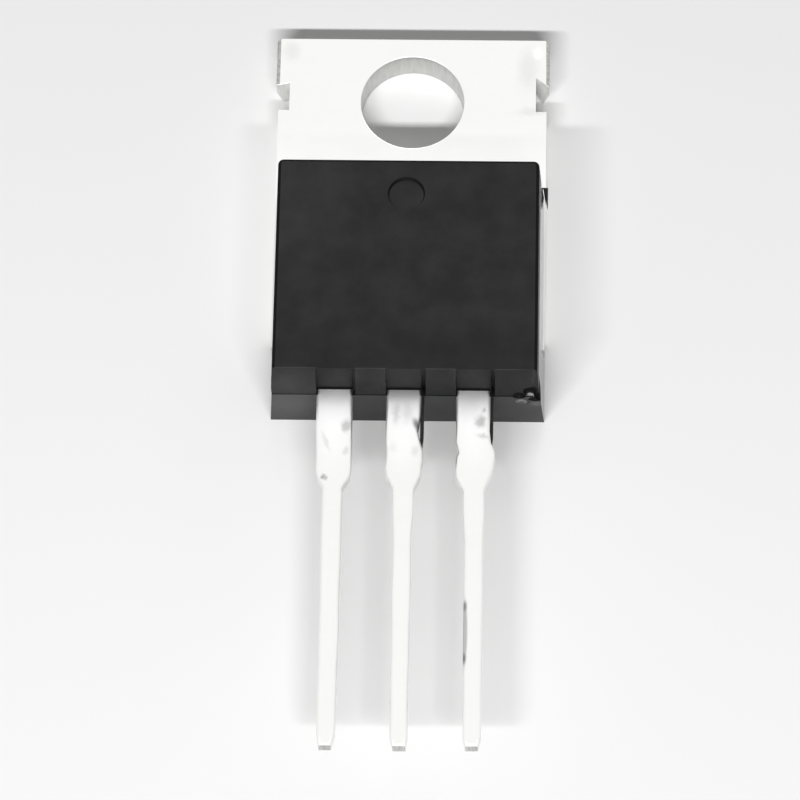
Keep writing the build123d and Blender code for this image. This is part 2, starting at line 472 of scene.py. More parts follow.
@dataclass(frozen=True)
class ShearedCopper(Finish):
    """Edge of the copper strip left by the punch: smeared with tin, with drag marks through it."""

    name: str = "sheared_copper_edge"
    base: str = "#B2B2AF"
    cloud: str = "#969693"
    cloud_size: float = 0.12
    run: float = 5.0
    grain_height: float = 0.01
    grain_strength: float = 0.5


@dataclass(frozen=True)
class MouldedEpoxy(Finish):
    """Black epoxy moulding compound from a spark-eroded mould: matt, fine-grained, faintly mottled."""

    name: str = "moulded_epoxy"
    base: str = "#121213"
    cloud: str = "#1F1F20"
    cloud_size: float = 1.1
    cloud_detail: float = 4.0
    roughness: float = 0.42
    metallic: float = 0.0
    specular: float = 0.19
    grain_size: Optional[float] = 0.07      # the mould's grain, about 30 microns; drawn this coarse
    grain_height: float = 0.006
    grain_strength: float = 0.45


@dataclass(frozen=True)
class SealedMetal(Finish):
    """Metal inside the moulding, drawn, cast or polished: even in colour, with a faint grain."""

    name: str = "sealed_metal"
    base: str = "#DCDDDE"
    cloud: str = "#C4C5C6"
    cloud_size: float = 0.1
    roughness: float = 0.35


@dataclass(frozen=True)
class Width:
    """Left and right side of a lead at one place along it."""

    y: float
    left: float
    right: float


@dataclass
class Lead:
    """Flat lead, punched from strip, with the sheared stubs of its dam bars."""

    widths: tuple[Width, ...]
    roll: float = 0.1           # punch's rounding along the front edges
    burr: float = 0.02          # much smaller rounding along the back edges
    seat: float = 0.5           # how far inside the moulding its width changes
    step: float = 0.02          # length over which it changes
    clear: float = 0.05         # past this its edges are rounded
    wander: float = 0.02        # how far the sides wave
    wave: float = 1.6
    waves: int = 7              # places at which the long pin may wave

    def sections(self) -> list[Width]:
        """Gives the pin a slight wave.

        Returns:
            Widths along the lead, from the moulding to the tip.
        """
        before, after = self.widths[-3], self.widths[-2]
        pins = []
        for number in range(1, self.waves):
            share = number / self.waves
            y = before.y + share * (after.y - before.y)
            left = before.left + share * (after.left - before.left)
            right = before.right + share * (after.right - before.right)
            pins.append(Width(y, left + self.sway(left, y), right + self.sway(right, y)))
        return [*self.widths[:-2], *pins, *self.widths[-2:]]

    def sway(self, x: float, y: float) -> float:
        """How far a side stands off its straight line at a place."""
        return self.wander * noise.noise(Vector((x * self.wave, y * self.wave, 0)))

    @staticmethod
    def ring(width: Width, low: float, high: float) -> list[Point]:
        """Corners of the lead's section at one place."""
        return [(width.left, width.y, low), (width.right, width.y, low),
                (width.right, width.y, high), (width.left, width.y, high)]

    def run(self, work: Workpiece, ring: list[bmesh.types.BMVert], face: bmesh.types.BMFace,
            inner: tuple[float, float], heights: tuple[float, float]) -> None:
        """Extrudes the lead to its tip from a face inside the moulding, and rounds it outside.

        Args:
            work: Mesh that the lead belongs to.
            ring: The face's corners.
            face: Face that the lead starts from.
            inner: Left and right side of what is inside the moulding.
            heights: Height of the lead's back and front.
        """
        start = self.widths[0].y + self.seat
        root = Width(start - self.step, self.widths[0].left, self.widths[0].right)
        for width in (Width(start, *inner), root, *self.sections()):
            ring, face = work.extrude_to(ring, face, self.ring(width, *heights))
        face.material_index = Metal.CUT_END.value
        for level, radius in zip(heights, (self.burr, self.roll)):
            work.roll(work.creases(PUNCHED, lambda m, z=level: (
                m.y < start - self.clear and abs(m.z - z) < NEAR)), radius)


@dataclass
class PostLead(Lead):
    """Gate or source lead, with the post inside the moulding that its wires are bonded to."""

    name: str = "lead"
    node: str = "gate_lead"
    post_left: float = -4.24
    post_right: float = -1.74

    def build(self, finishes: list[bpy.types.Material]) -> bpy.types.Object:
        """Builds and dresses the lead.

        Args:
            finishes: The plating and the cut end's finish, as in Metal.

        Returns:
            The lead.
        """
        low, high = extent(self.node)
        heights = (low.z, high.z)
        inner = (self.post_left, self.post_right)
        work = Workpiece()
        face = work.face(self.ring(Width(high.y, *inner), *heights))
        self.run(work, list(face.verts), face, inner, heights)
        return work.finish(self.name, finishes, Slot.METAL, self.node)


class Piece:
    """Piece that holds its mesh and the highest corner of its CAD solid's box while it is built."""

    node = ""

    def __post_init__(self) -> None:
        """Starts the mesh and finds that corner, in millimetres."""
        self.work = Workpiece()
        self.high = extent(self.node)[1]


@dataclass
class MountingPlate(Piece):
    """Plate with the screw hole and side notches, and the drain lead that is one with it."""

    drain: Lead
    grip: Grip = Grip()
    node: str = "plate_with_drain_lead"
    side: float = 5.0
    hole_radius: float = 1.92
    hole_square: float = 2.3
    hole_cuts: int = 17
    corner: float = 0.2
    notch_depth: float = 0.4
    notch_outer: float = 0.68
    notch_inner_left: float = 0.8
    notch_inner_right: float = 1.1
    notch_floor: float = -0.36
    break_height: float = 0.7   # the punch's break starts here on the sheared sides
    break_inset: float = 0.22
    tooth_rim: float = 0.1      # metal left outside the left tooth, and the right one's slant
    neck_half: float = 0.85
    neck_low: float = 0.77
    neck_foot: float = -10.45
    neck_end: float = -11.4
    neck_slip: float = 0.29     # how much later the neck's front bends than its back
    roll: float = 0.09
    hole_roll: float = 0.04
    burr: float = 0.025
    shear_band: float = 0.13    # width of the darker, rolled band along the sheared sides

    def outline(self) -> list[Point]:
        """Plan of the plate at the ledge's height.

        Returns:
            The corners, in order round the plate.
        """
        tab, inner = self.high.x, self.side - self.notch_depth
        left, right = ([
            (sign * tab, self.high.y), (sign * tab, self.notch_outer), (sign * inner, notch),
            (sign * inner, self.notch_floor), (sign * self.side, self.notch_floor),
            (sign * self.side, self.grip.plate_end),
        ] for sign, notch in ((-1, self.notch_inner_left), (1, self.notch_inner_right)))
        return [(x, y, self.grip.ledge_height) for x, y in [*left, *reversed(right)]]

    def is_tooth(self, middle: Vector) -> bool:
        """Whether a point lies in one of the notches that the moulding's teeth fill.

        Args:
            middle: The point.

        Returns:
            True if it does.
        """
        grip = self.grip
        if not grip.tooth_low < middle.y < grip.tooth_top:
            return False
        slant = self.tooth_rim * (middle.y - grip.tooth_low) / (grip.tooth_top - grip.tooth_low)
        return (middle.x > self.side - slant
                or self.tooth_rim - self.side < middle.x < grip.tooth_bite - self.side)

    def plan(self) -> None:
        """Draws the plan with the hole and every line that a later step needs."""
        grip, work, tab = self.grip, self.work, self.high.x
        work.face(self.outline())
        corners = [v for v in work.bm.verts if v.co.y > self.high.y - NEAR]
        bmesh.ops.bevel(work.bm, geom=corners, offset=self.corner, offset_type="OFFSET", segments=4,
                        profile=0.5, affect="VERTICES", clamp_overlap=True, material=-1)
        for x in (self.shear_band - tab, tab - self.shear_band):
            work.cut((x, 0, 0), (1, 0, 0))
        hole = work.round_recess((0, 0), self.hole_radius, self.hole_square, self.hole_cuts)
        bmesh.ops.delete(work.bm, geom=[hole], context="FACES_ONLY")
        for y in (grip.tooth_top, grip.tooth_low, grip.ledge):
            work.cut((0, y, 0), (0, 1, 0), lambda m: m.y < self.notch_floor)
        run = grip.tooth_top - grip.tooth_low
        for x, normal in ((grip.tooth_bite - self.side, (1, 0, 0)),
                          (self.tooth_rim - self.side, (1, 0, 0)),
                          (self.side, (run, self.tooth_rim, 0))):
            work.cut((x, grip.tooth_low, 0), normal,
                     lambda m: grip.tooth_low < m.y < grip.tooth_top)
        for x in (-self.neck_half, self.neck_half):
            work.cut((x, 0, 0), (1, 0, 0), lambda m: m.y < grip.ledge)

    def raise_walls(self) -> None:
        """Extrudes the plan up to the front face and down to the metal back."""
        grip, work = self.grip, self.work
        base = list(work.bm.faces)
        faces, level = list(base), grip.ledge_height
        for height in (self.break_height, self.neck_low, grip.tooth_floor, grip.front):
            if height == grip.front:
                faces = [f for f in faces if not self.is_tooth(f.calc_center_median())]
            faces = work.extrude(faces, (0, 0, height - level))
            level = height
        back = [f for f in base if f.is_valid and f.calc_center_median().y > grip.ledge]
        work.extrude(back, (0, 0, -grip.ledge_height))

    def shear(self) -> None:
        """Slants the broken zone of the sheared sides in towards the back."""
        bend = self.high.x - self.corner
        for vert in self.work.bm.verts:
            if vert.co.y > self.notch_outer - NEAR and abs(vert.co.x) > bend - NEAR:
                drop = max(0.0, 1 - vert.co.z / self.break_height)
                vert.co.x -= math.copysign(self.break_inset * drop, vert.co.x)

    def add_neck(self, heights: tuple[float, float]) -> None:
        """Extrudes the neck and the drain lead out of the plate's lower end.

        Args:
            heights: Height of the lead's back and front.
        """
        work, end, inner = self.work, self.grip.plate_end, (-self.neck_half, self.neck_half)
        for x in inner:
            foot = (x, end, self.neck_low)
            bmesh.ops.pointmerge(work.bm, merge_co=foot, verts=work.corners([
                foot, (x, end, self.grip.tooth_floor)]))
        levels = (self.neck_low, self.grip.front)
        ring = work.corners(Lead.ring(Width(end, *inner), *levels))
        face = next(f for f in ring[0].link_faces if all(v in f.verts for v in ring))
        for y, pair in ((self.neck_foot, levels), (self.neck_end, heights)):
            bend = [*Lead.ring(Width(y, *inner), *pair)[:2],
                    *Lead.ring(Width(y + self.neck_slip, *inner), *pair)[2:]]
            ring, face = work.extrude_to(ring, face, bend)
        self.drain.run(work, ring, face, inner, heights)

    def soften(self) -> None:
        """Rounds the punched edges."""
        work, front, floor = self.work, self.grip.front, self.notch_floor - SLACK
        work.roll(work.creases(PUNCHED, lambda m: abs(m.z - front) < NEAR and m.y > floor
                               and m.xy.length > self.hole_square), self.roll)
        work.roll(work.creases(PUNCHED, lambda m: abs(m.z - front) < NEAR
                               and m.xy.length < self.hole_square), self.hole_roll, segments=2)
        work.roll(work.creases(PUNCHED, lambda m: m.z < NEAR and m.y > floor), self.burr, segments=2)

    def colour(self) -> None:
        """Gives the sheared sides and the hole their own finishes, and the notches a paler, less
        metallic one that paints light into their shade.
        """
        notch, band = self.side - self.notch_depth, self.high.x - self.shear_band
        for face in self.work.bm.faces:
            middle = face.calc_center_median()
            on_side = abs(middle.x) > band and middle.y > self.notch_inner_right
            in_notch = (abs(middle.x) > notch - NEAR
                        and self.notch_floor - SLACK < middle.y < self.notch_inner_right)
            if on_side or middle.y > self.high.y - self.roll / 2:
                face.material_index = Metal.SHEARED.value
            elif middle.xy.length < self.hole_radius + SLACK:
                face.material_index = Metal.HOLE_WALL.value
            elif in_notch and abs(face.normal.z) < UPRIGHT:
                face.material_index = Metal.NOTCH_WALL.value

    def build(self, finishes: list[bpy.types.Material]) -> bpy.types.Object:
        """Builds and dresses the plate and its lead.

        Args:
            finishes: One for each member of Metal, in order.

        Returns:
            The piece.
        """
        low, high = extent("gate_lead")
        self.plan()
        self.raise_walls()
        self.shear()
        self.add_neck((self.high.z - (high.z - low.z), self.high.z))
        self.soften()
        self.colour()
        return self.work.finish("tinned_plate_with_drain_lead", finishes, Slot.METAL, self.node)


@dataclass(frozen=True)
class Recess:
    """Pocket or groove in the moulding's lower end, between two x positions."""

    left: float
    right: float
    depth: float


@dataclass
class MouldedBody(Piece):
    """Moulding: drafted walls, stepped parting line, lead pockets and the chipped corner."""

    recesses: tuple[Recess, ...]
    webs: tuple[float, ...]     # x of the lead sides that resin flash clings to
    grip: Grip = Grip()
    node: str = "moulded_body"
    parting: float = 3.06       # just under the leads' front faces
    shift: float = 0.02         # the lower half's, right of the plate's middle
    cope_shift: float = -0.03   # the upper half's, against the lower
    cope_rise: float = 0.3      # height over which it comes in
    corner_side: float = 4.5    # past this x a corner belongs to a side wall
    half_width: float = 4.925   # at the plate's front face
    side_draft: float = 3.0
    top_draft: float = 4.5
    front_top: float = -4.08
    front_bottom: float = -12.53
    front_rim: float = 0.05     # the front's lower edge lies within this above its bottom
    parting_end: float = -12.9
    ledge: float = 0.05
    bleed: float = 0.075        # thin lip of resin along each lead's front; its dark finish is painted shade
    bleed_height: float = 0.05
    lower_end: float = -12.52
    step: float = 0.02          # length over which a recess's side wall falls
    edge: float = 0.11          # rounding of the front's top and side edges
    low_edge: float = 0.03      # its lower edge is sharper
    corner: float = 0.2         # rounding of the two upper corners
    edge_tilt: float = 0.99     # a rounded edge's normal has less of Z than this
    wall_tilt: float = 0.9      # a side wall's has more of X than this
    mark_center: tuple[float, float] = (-0.07, -5.47)
    mark_radius: float = 0.675
    mark_square: float = 0.95
    mark_cuts: int = 11
    mark_depth: float = 0.1     # at its upper side, because the pin stood askew
    mark_rise: float = 0.02     # share of that depth at its lower side
    mark_slope: float = 0.05
    mark_drag: float = 0.9      # share of the slope by which its floor lies lower down
    mark_tilt: float = 0.95     # its wall's normal has less of Z than this
    mark_dark: float = 0.25     # its wall gets painted shade from this far above its middle
    web_width: float = 0.11
    web_length: float = 1.95
    web_low: float = 2.58
    web_high: float = 2.88
    web_tip: float = 0.6        # share of the width left at the tip
    web_taper: float = 0.4
    chip_zone: tuple[float, float, float] = (3.75, -12.2, 2.3)
    chip_side: tuple[float, float] = (3.0, -8.0)        # x and y past which walls are cut for it
    chip_top: float = 3.95
    chip_cuts: int = 26
    chip_waves: tuple[tuple[float, float], ...] = ((0.22, 4.5), (0.07, 17.0))   # share, rate
    scoops: tuple[tuple[Point, float], ...] = (
        ((4.5, -13.0, 3.34), 0.3),
        ((4.1, -13.03, 3.1), 0.24),
        ((4.2, -13.04, 2.46), 0.3),
        ((4.94, -12.98, 2.98), 0.34),
        ((4.68, -13.02, 2.84), 0.26),
    )

    def side(self, sign: int, z: float) -> float:
        """x of the drafted side wall at a height."""
        reach = self.half_width - (z - self.grip.front) * math.tan(math.radians(self.side_draft))
        return self.shift + sign * reach

    def section(self, depth: float, x: Optional[float] = None, sign: int = 1) -> list[Point]:
        """Corners of the moulding's section.

        Args:
            depth: How deep the lower end is cut back at the parting plane.
            x: Where the section is; on the drafted side wall if left out.
            sign: Which side wall, -1 for left and 1 for right.

        Returns:
            The corners, in order.
        """
        grip, top = self.grip, self.high.z
        rise = (top - grip.front) * math.tan(math.radians(self.top_draft))
        lip = self.parting + self.bleed_height
        foot = self.parting_end + depth
        bleed = foot - (self.bleed if depth else self.step / 2)
        points = [
            (self.front_top + rise, grip.front), (self.front_top, top),
            (self.front_bottom, top), (foot, lip), (bleed, lip - self.step / 2),
            (bleed, self.parting),
            (self.parting_end - self.ledge, self.parting), (self.lower_end, 0),
            (grip.ledge, 0), (grip.ledge, grip.ledge_height),
            (grip.plate_end, grip.ledge_height), (grip.plate_end, grip.front),
        ]
        return [(self.side(sign, z) if x is None else x, y, z) for y, z in points]

    def loft(self) -> None:
        """Extrudes the section from the left side wall to the right one, past each recess."""
        work, top = self.work, self.high.z
        face = work.face(self.section(0, sign=-1))
        ring = list(face.verts)
        for recess in self.recesses:
            for x, depth in ((recess.left - self.step, 0), (recess.left, recess.depth),
                             (recess.right, recess.depth), (recess.right + self.step, 0)):
                ring, face = work.extrude_to(ring, face, self.section(depth, x))
        work.extrude_to(ring, face, self.section(0))
        work.bm.normal_update()
        for wanted in (lambda m: m.z > top - NEAR, lambda m: m.y > self.front_top):
            flat = [f for f in work.bm.faces if wanted(f.calc_center_median())
                    and abs(f.normal.x) < UPRIGHT]
            bmesh.ops.dissolve_faces(work.bm, faces=flat, use_verts=True)
        work.cut((0, 0, self.parting + self.cope_rise), (0, 0, 1))
        for vert in work.bm.verts:
            if abs(vert.co.x) > self.corner_side:
                share = (vert.co.z - self.parting) / self.cope_rise
                vert.co.x += self.cope_shift * min(max(share, 0.0), 1.0)

    def press_mark(self) -> None:
        """Sinks the round mark that the ejector pin leaves."""
        face = self.work.round_recess(self.mark_center, self.mark_radius, self.mark_square,
                                      self.mark_cuts)
        top = face.verts[0].co.z
        bmesh.ops.inset_individual(self.work.bm, faces=[face], thickness=self.mark_slope)
        for vert in face.verts:
            share = (vert.co.y - self.mark_center[1]) / (2 * self.mark_radius) + 0.5
            vert.co.y -= self.mark_drag * self.mark_slope
            vert.co.z = top - self.mark_depth * (self.mark_rise + (1 - self.mark_rise) * share)

    def chip(self) -> None:
        """Scoops shell-shaped flakes out of the lower right corner along the parting plane, and gives
        them the fractured finish with its painted shade and glints.
        """
        work, (x, y, z), (right, low) = self.work, self.chip_zone, self.chip_side

        def inside(middle: Vector) -> bool:
            """Whether a point lies in the zone that the flakes broke out of."""
            return middle.x > x and middle.y < y and z < middle.z < self.chip_top

        for place, normal in (((x, 0, 0), (1, 0, 0)), ((0, y, 0), (0, 1, 0)),
                              ((0, 0, z), (0, 0, 1)), ((0, 0, self.chip_top), (0, 0, 1)),
                              ((0, 0, self.parting), (0, 0, 1))):
            work.cut(place, normal, lambda m: m.x > right and m.y < low)
        zone = [f for f in work.bm.faces if inside(f.calc_center_median())]
        edges = {e for f in zone for e in f.edges}
        bmesh.ops.subdivide_edges(work.bm, edges=list(edges), cuts=self.chip_cuts, use_grid_fill=True)
        for vert in work.bm.verts:
            start = vert.co.copy()
            for center, radius in self.scoops:
                arm = vert.co - Vector(center)
                rough = radius * (1 + sum(share * noise.noise(start * rate)
                                          for share, rate in self.chip_waves))
                if arm.length < rough and inside(start):
                    vert.co = Vector(center) + arm.normalized() * rough
            if vert.co != start:
                for face in vert.link_faces:
                    face.material_index = Resin.FRACTURE.value

    def on_mark(self, middle: Vector, radius: float) -> bool:
        """Whether a point lies within a radius of the pin mark's middle."""
        return (middle.xy - Vector(self.mark_center)).length < radius

    def round_edges(self) -> None:
        """Rounds the upper corners and the front's edges."""
        work, top, low = self.work, self.high.z, self.front_bottom + self.front_rim
        work.roll(work.creases(MOULDED, lambda m: (
            m.y > self.front_top - SLACK and m.z > self.grip.front
            and abs(m.x) > self.corner_side)), self.corner, segments=4)
        work.roll(work.creases(MOULDED, lambda m: (
            m.z > top - NEAR and m.y > low and not self.on_mark(m, self.mark_square))), self.edge)
        work.roll(work.creases(MOULDED, lambda m: m.z > top - NEAR and m.y < low), self.low_edge,
                  segments=2)

    def colour(self) -> None:
        """Gives the side walls their own finish, the pockets a darker one that paints their shade, and
        the rounded edges, bleed lips and the pin mark's upper wall a near-black one that paints theirs.
        """
        top, low = self.high.z, self.front_bottom + self.front_rim
        for face in self.work.bm.faces:
            middle, normal = face.calc_center_median(), face.normal
            place = Resin.FRONT
            if middle.z > top - self.edge and middle.y > low and abs(normal.z) < self.edge_tilt:
                place = Resin.EDGE
            elif (abs(middle.x - self.shift) > self.side(1, top) - self.shift - NEAR
                    and abs(normal.x) > self.wall_tilt):
                place = Resin.WALL
            elif (middle.z > self.parting - NEAR and middle.y < low
                    and any(r.left < middle.x < r.right for r in self.recesses)):
                # the lip takes the edge finish's painted shade, the rest of the pocket the pocket's
                # darker painted shade
                is_shaded_lip = middle.z < self.parting + self.bleed_height
                place = Resin.EDGE if is_shaded_lip else Resin.POCKET
            elif (self.on_mark(middle, self.mark_radius) and normal.z < self.mark_tilt
                    and middle.y > self.mark_center[1] + self.mark_dark):
                place = Resin.EDGE
            face.material_index = place.value

    def add_teeth(self) -> None:
        """Adds the teeth that key the moulding into the plate's sides."""
        grip, outer = self.grip, self.high.x
        wall, bite = self.side(1, grip.front), grip.tooth_bite / 2
        left = self.side(-1, grip.front) + self.step
        plans = (
            [(left, grip.tooth_top), (left + bite, grip.tooth_top),
             (left + bite, grip.tooth_low), (left, grip.tooth_low)],
            [(wall - bite, grip.tooth_top), (outer, grip.tooth_top), (outer, grip.tooth_low),
             (wall - self.step, grip.tooth_top - self.step), (wall - bite, grip.tooth_top - bite)])
        for plan in plans:
            face = self.work.face([(x, y, grip.tooth_floor) for x, y in plan])
            self.work.extrude([face], (0, 0, grip.front + self.step - grip.tooth_floor))

    def add_webs(self) -> None:
        """Adds the thin webs of flash beside the leads."""
        start, end = self.parting_end + self.ledge, self.parting_end - self.web_length
        for left in self.webs:
            right, tip = left + self.web_width, left + self.web_tip * self.web_width
            plan = ((left - self.step, start), (right, start), (right, end + self.web_taper),
                    (tip, end), (left - self.step, end))
            face = self.work.face([(x, y, self.web_low) for x, y in plan])
            self.work.extrude([face], (0, 0, self.web_high - self.web_low))

    def build(self, finishes: list[bpy.types.Material]) -> bpy.types.Object:
        """Builds and dresses the moulding.

        Args:
            finishes: One for each member of Resin, in order.

        Returns:
            The moulding.
        """
        self.loft()
        self.press_mark()
        self.round_edges()
        self.colour()
        self.chip()
        self.add_teeth()
        self.add_webs()
        return self.work.finish("epoxy_moulding", finishes, Slot.RESIN, self.node)


@dataclass(frozen=True)
class Lamp:
    """Rectangular softbox, long side parallel to X, turned to the part."""

    name: str
    place: Point
    length: float
    width: float
    power: float

    def hang(self) -> None:
        """Hangs the lamp."""
        light = bpy.data.lights.new(self.name, "AREA")
        light.shape = "RECTANGLE"
        light.size = self.length * MM
        light.size_y = self.width * MM
        light.energy = self.power
        holder = put(self.name, light)
        x, y, z = self.place
        holder.location = (x * MM, y * MM, z * MM)
        holder.rotation_euler = (math.atan2(-y, z), 0, 0)


@dataclass
class Studio:
    """Pale floor, soft sky and two lamps, with the camera above the part."""

    azimuth: float = 3.2805     # degrees
    elevation: float = 64.7081
    roll: float = -2.3993
    target: Point = (-0.2234, -12.3849, 1.5)
    distance: float = 195.35
    lens: float = 242.31
    sensor: float = 36.0
    view_end: float = 10.0      # metres; the camera sees no further
    floor_half: float = 400.0
    floor_drop: float = 0.02    # below the metal back, so that the two don't coincide
    floor_colour: str = "#F6F6F6"
    floor_roughness: float = 0.9
    sky: float = 0.17           # light from the sky on rough surfaces
    shown_sky: float = 1.0      # what mirrors see of it
    lamps: tuple[Lamp, ...] = (
        Lamp("front_strip", (-25.0, -202.0, 231.0), 240.0, 12.0, 0.94),
        Lamp("back_softbox", (60.0, 350.0, 180.0), 300.0, 100.0, 0.22),
    )

    def build(self) -> None:
        """Builds the floor, the light and the camera."""
        self.lay_floor()
        self.light_sky()
        for lamp in self.lamps:
            lamp.hang()
        self.set_camera()
        bpy.context.scene.view_settings.view_transform = "Standard"

    def lay_floor(self) -> None:
        """Lays the floor on which the metal back rests."""
        work = Workpiece()
        bmesh.ops.create_grid(work.bm, x_segments=1, y_segments=1, size=self.floor_half * MM)
        bmesh.ops.translate(work.bm, verts=list(work.bm.verts), vec=(0, 0, -self.floor_drop * MM))
        mesh = bpy.data.meshes.new("floor")
        work.bm.to_mesh(mesh)
        work.bm.free()
        floor = put("floor", mesh)
        material = bpy.data.materials.new("matt_white_card")
        material.use_nodes = True
        shader = material.node_tree.nodes["Principled BSDF"]
        shader.inputs["Base Color"].default_value = linear(self.floor_colour)
        shader.inputs["Roughness"].default_value = self.floor_roughness
        shader.inputs["Specular IOR Level"].default_value = 0.0
        mesh.materials.append(material)

    def light_sky(self) -> None:
        """Lights the scene evenly, and shows a white sky to the camera and in the metal."""
        world = bpy.data.worlds.new("soft_sky")
        bpy.context.scene.world = world
        world.use_nodes = True
        tree = world.node_tree
        path = add_node(tree, "ShaderNodeLightPath")
        seen = add_node(tree, "ShaderNodeMath", {
            0: path.outputs["Is Camera Ray"], 1: path.outputs["Is Glossy Ray"]}, operation="MAXIMUM")
        seen = add_node(tree, "ShaderNodeMath", {
            0: seen.outputs[0], 1: path.outputs["Is Transmission Ray"]}, operation="MAXIMUM")
        level = add_node(tree, "ShaderNodeMapRange", {
            "Value": seen.outputs[0], "To Min": self.sky, "To Max": self.shown_sky})
        tree.links.new(level.outputs["Result"], tree.nodes["Background"].inputs["Strength"])
        tree.nodes["Background"].inputs["Color"].default_value = (1, 1, 1, 1)

    def set_camera(self) -> None:
        """Aims the camera."""
        turn, tilt = math.radians(self.azimuth), math.radians(self.elevation)
        way = Vector((math.sin(turn) * math.cos(tilt), -math.cos(turn) * math.cos(tilt),
                      math.sin(tilt)))
        data = bpy.data.cameras.new("camera")
        data.lens = self.lens
        data.sensor_width = self.sensor
        data.clip_end = self.view_end
        camera = put("camera", data)
        camera.rotation_mode = "QUATERNION"
        camera.location = (Vector(self.target) + way * self.distance) * MM
        camera.rotation_quaternion = way.to_track_quat("Z", "Y") @ Quaternion(
            (0, 0, 1), math.radians(self.roll))
        bpy.context.scene.camera = camera


GATE = PostLead(
    name="tinned_gate_lead", node="gate_lead", post_left=-4.24, post_right=-1.74,
    widths=(Width(-12.9, -3.19, -1.9), Width(-14.2, -3.18, -1.88), Width(-15.2, -3.14, -1.87),
            Width(-15.85, -3.15, -1.88), Width(-16.12, -3.09, -1.93), Width(-16.6, -2.87, -2.2),
            Width(-16.9, -2.9, -2.17), Width(-26.0, -2.87, -2.21), Width(-26.48, -2.78, -2.35)))
DRAIN = Lead(
    widths=(Width(-12.9, -0.68, 0.6), Width(-13.7, -0.67, 0.56), Width(-14.1, -0.68, 0.51),
            Width(-14.35, -0.68, 0.48), Width(-14.8, -0.67, 0.6), Width(-15.1, -0.64, 0.68),
            Width(-15.5, -0.66, 0.67), Width(-15.8, -0.69, 0.63), Width(-16.1, -0.62, 0.6),
            Width(-16.6, -0.38, 0.37), Width(-17.6, -0.38, 0.37), Width(-18.5, -0.34, 0.31),
            Width(-26.1, -0.31, 0.33), Width(-26.49, -0.2, 0.26)))
SOURCE = PostLead(
    name="tinned_source_lead", node="source_lead", post_left=1.74, post_right=4.24,
    widths=(Width(-12.9, 1.84, 3.08), Width(-14.3, 1.85, 3.06), Width(-14.75, 1.84, 3.11),
            Width(-15.08, 1.93, 3.24), Width(-15.2, 1.93, 3.25), Width(-15.35, 1.86, 3.25),
            Width(-15.9, 1.84, 3.16), Width(-16.2, 1.9, 3.04), Width(-16.65, 2.14, 2.88),
            Width(-17.6, 2.14, 2.91), Width(-18.5, 2.19, 2.88), Width(-26.1, 2.25, 2.9),
            Width(-26.46, 2.34, 2.79)))
GATE_MARKS = (
    # painted light: whitens the lead next to the moulding, where the moulding's shade falls
    Mark((-2.54, -13.3, 3.08), (1.3, 3.2, 0.5), 1.0, "#FFFFFF"),
    Mark((-2.09, -14.17, 3.08), (0.27, 0.4, 0.3), 0.5),
    Mark((-2.84, -16.2, 3.08), (0.14, 0.2, 0.3), 0.7),
    Mark((-2.8, -14.8, 3.08), (0.12, 0.6, 0.3), 0.2, turn=20),
    Mark((-2.08, -15.15, 3.08), (0.16, 0.24, 0.3), 0.25),
)
DRAIN_MARKS = (
    # painted light: whitens the lead next to the moulding, where the moulding's shade falls
    Mark((-0.05, -13.3, 3.08), (1.3, 3.2, 0.5), 1.0, "#FFFFFF"),
    Mark((-0.05, -13.5, 3.08), (0.75, 1.0, 0.3), 0.1),
    Mark((-0.3, -13.65, 3.08), (0.22, 0.6, 0.3), 0.3, turn=-4),
    Mark((0.09, -13.6, 3.08), (0.26, 0.6, 0.3), 0.18),
    Mark((0.46, -14.12, 3.08), (0.2, 0.44, 0.3), 0.9, "#7C7C7A", turn=25, ragged=False),
    Mark((0.4, -15.14, 3.08), (0.22, 0.32, 0.3), 0.2),
    Mark((-0.36, -15.0, 3.08), (0.2, 0.28, 0.3), 0.12),
    # painted light: whitens the plate's front between the moulding and the hole, where the moulding
    # shades it
    Mark((0.0, -3.6, 1.27), (16.0, 3.2, 0.3), 0.55, "#FFFFFF"),
    Mark((-4.56, 2.15, 1.27), (0.5, 0.6, 0.3), 0.14),
    Mark((4.3, 1.45, 1.27), (0.6, 1.3, 0.3), 0.14),
    Mark((4.66, 2.13, 1.27), (0.34, 0.34, 0.3), 0.7, "#FFFFFF"),
    Mark((4.4, -0.36, 1.27), (0.8, 0.26, 0.3), 0.14),
)
SOURCE_MARKS = (
    # painted light: whitens the lead next to the moulding, where the moulding's shade falls
    Mark((2.46, -13.3, 3.08), (1.3, 3.2, 0.5), 1.0, "#FFFFFF"),
    Mark((2.28, -13.35, 3.08), (0.6, 0.8, 0.3), 0.12),
    Mark((2.74, -13.95, 3.08), (0.3, 0.38, 0.3), 0.55),
    Mark((2.86, -13.5, 3.08), (0.14, 0.2, 0.3), 0.45),
    Mark((2.8, -14.52, 3.08), (0.34, 0.17, 0.3), 0.35, turn=-15),
    # painted shade: the pin's left side in shadow, darkest at both ends
    Mark((2.26, -22.2, 3.08), (0.14, 1.6, 0.5), 0.8, "#ACACAA", edge=0.5, ragged=False),
    Mark((2.26, -21.15, 3.08), (0.12, 0.3, 0.5), 0.7, "#6C6C6A", ragged=False),
    Mark((2.25, -23.15, 3.08), (0.12, 0.3, 0.5), 0.8, "#6C6C6A", ragged=False),
)
RESIN_MARKS = (
    Mark((-4.3, -5.6, 4.44), (3.2, 4.2, 0.6), 0.026),
    # darkens the front towards its lower edge
    Mark((0.0, -12.3, 4.44), (14.0, 2.2, 0.6), 0.2, "#000000"),
    # painted shade: darkens the lower end wall from the gate lead rightwards
    Mark((1.8, -12.8, 2.5), (5.5, 1.0, 3.2), 0.35, "#050505"),
    # painted light: lightens the end wall's block left of the gate lead, on the side the light comes
    # from
    Mark((-4.1, -12.75, 2.4), (1.6, 0.6, 3.2), 0.08),
    Mark((4.72, -12.85, 2.25), (0.34, 0.3, 0.4), 0.2),
    Mark((4.62, -12.68, 4.1), (0.08, 0.4, 0.55), 0.06),
)
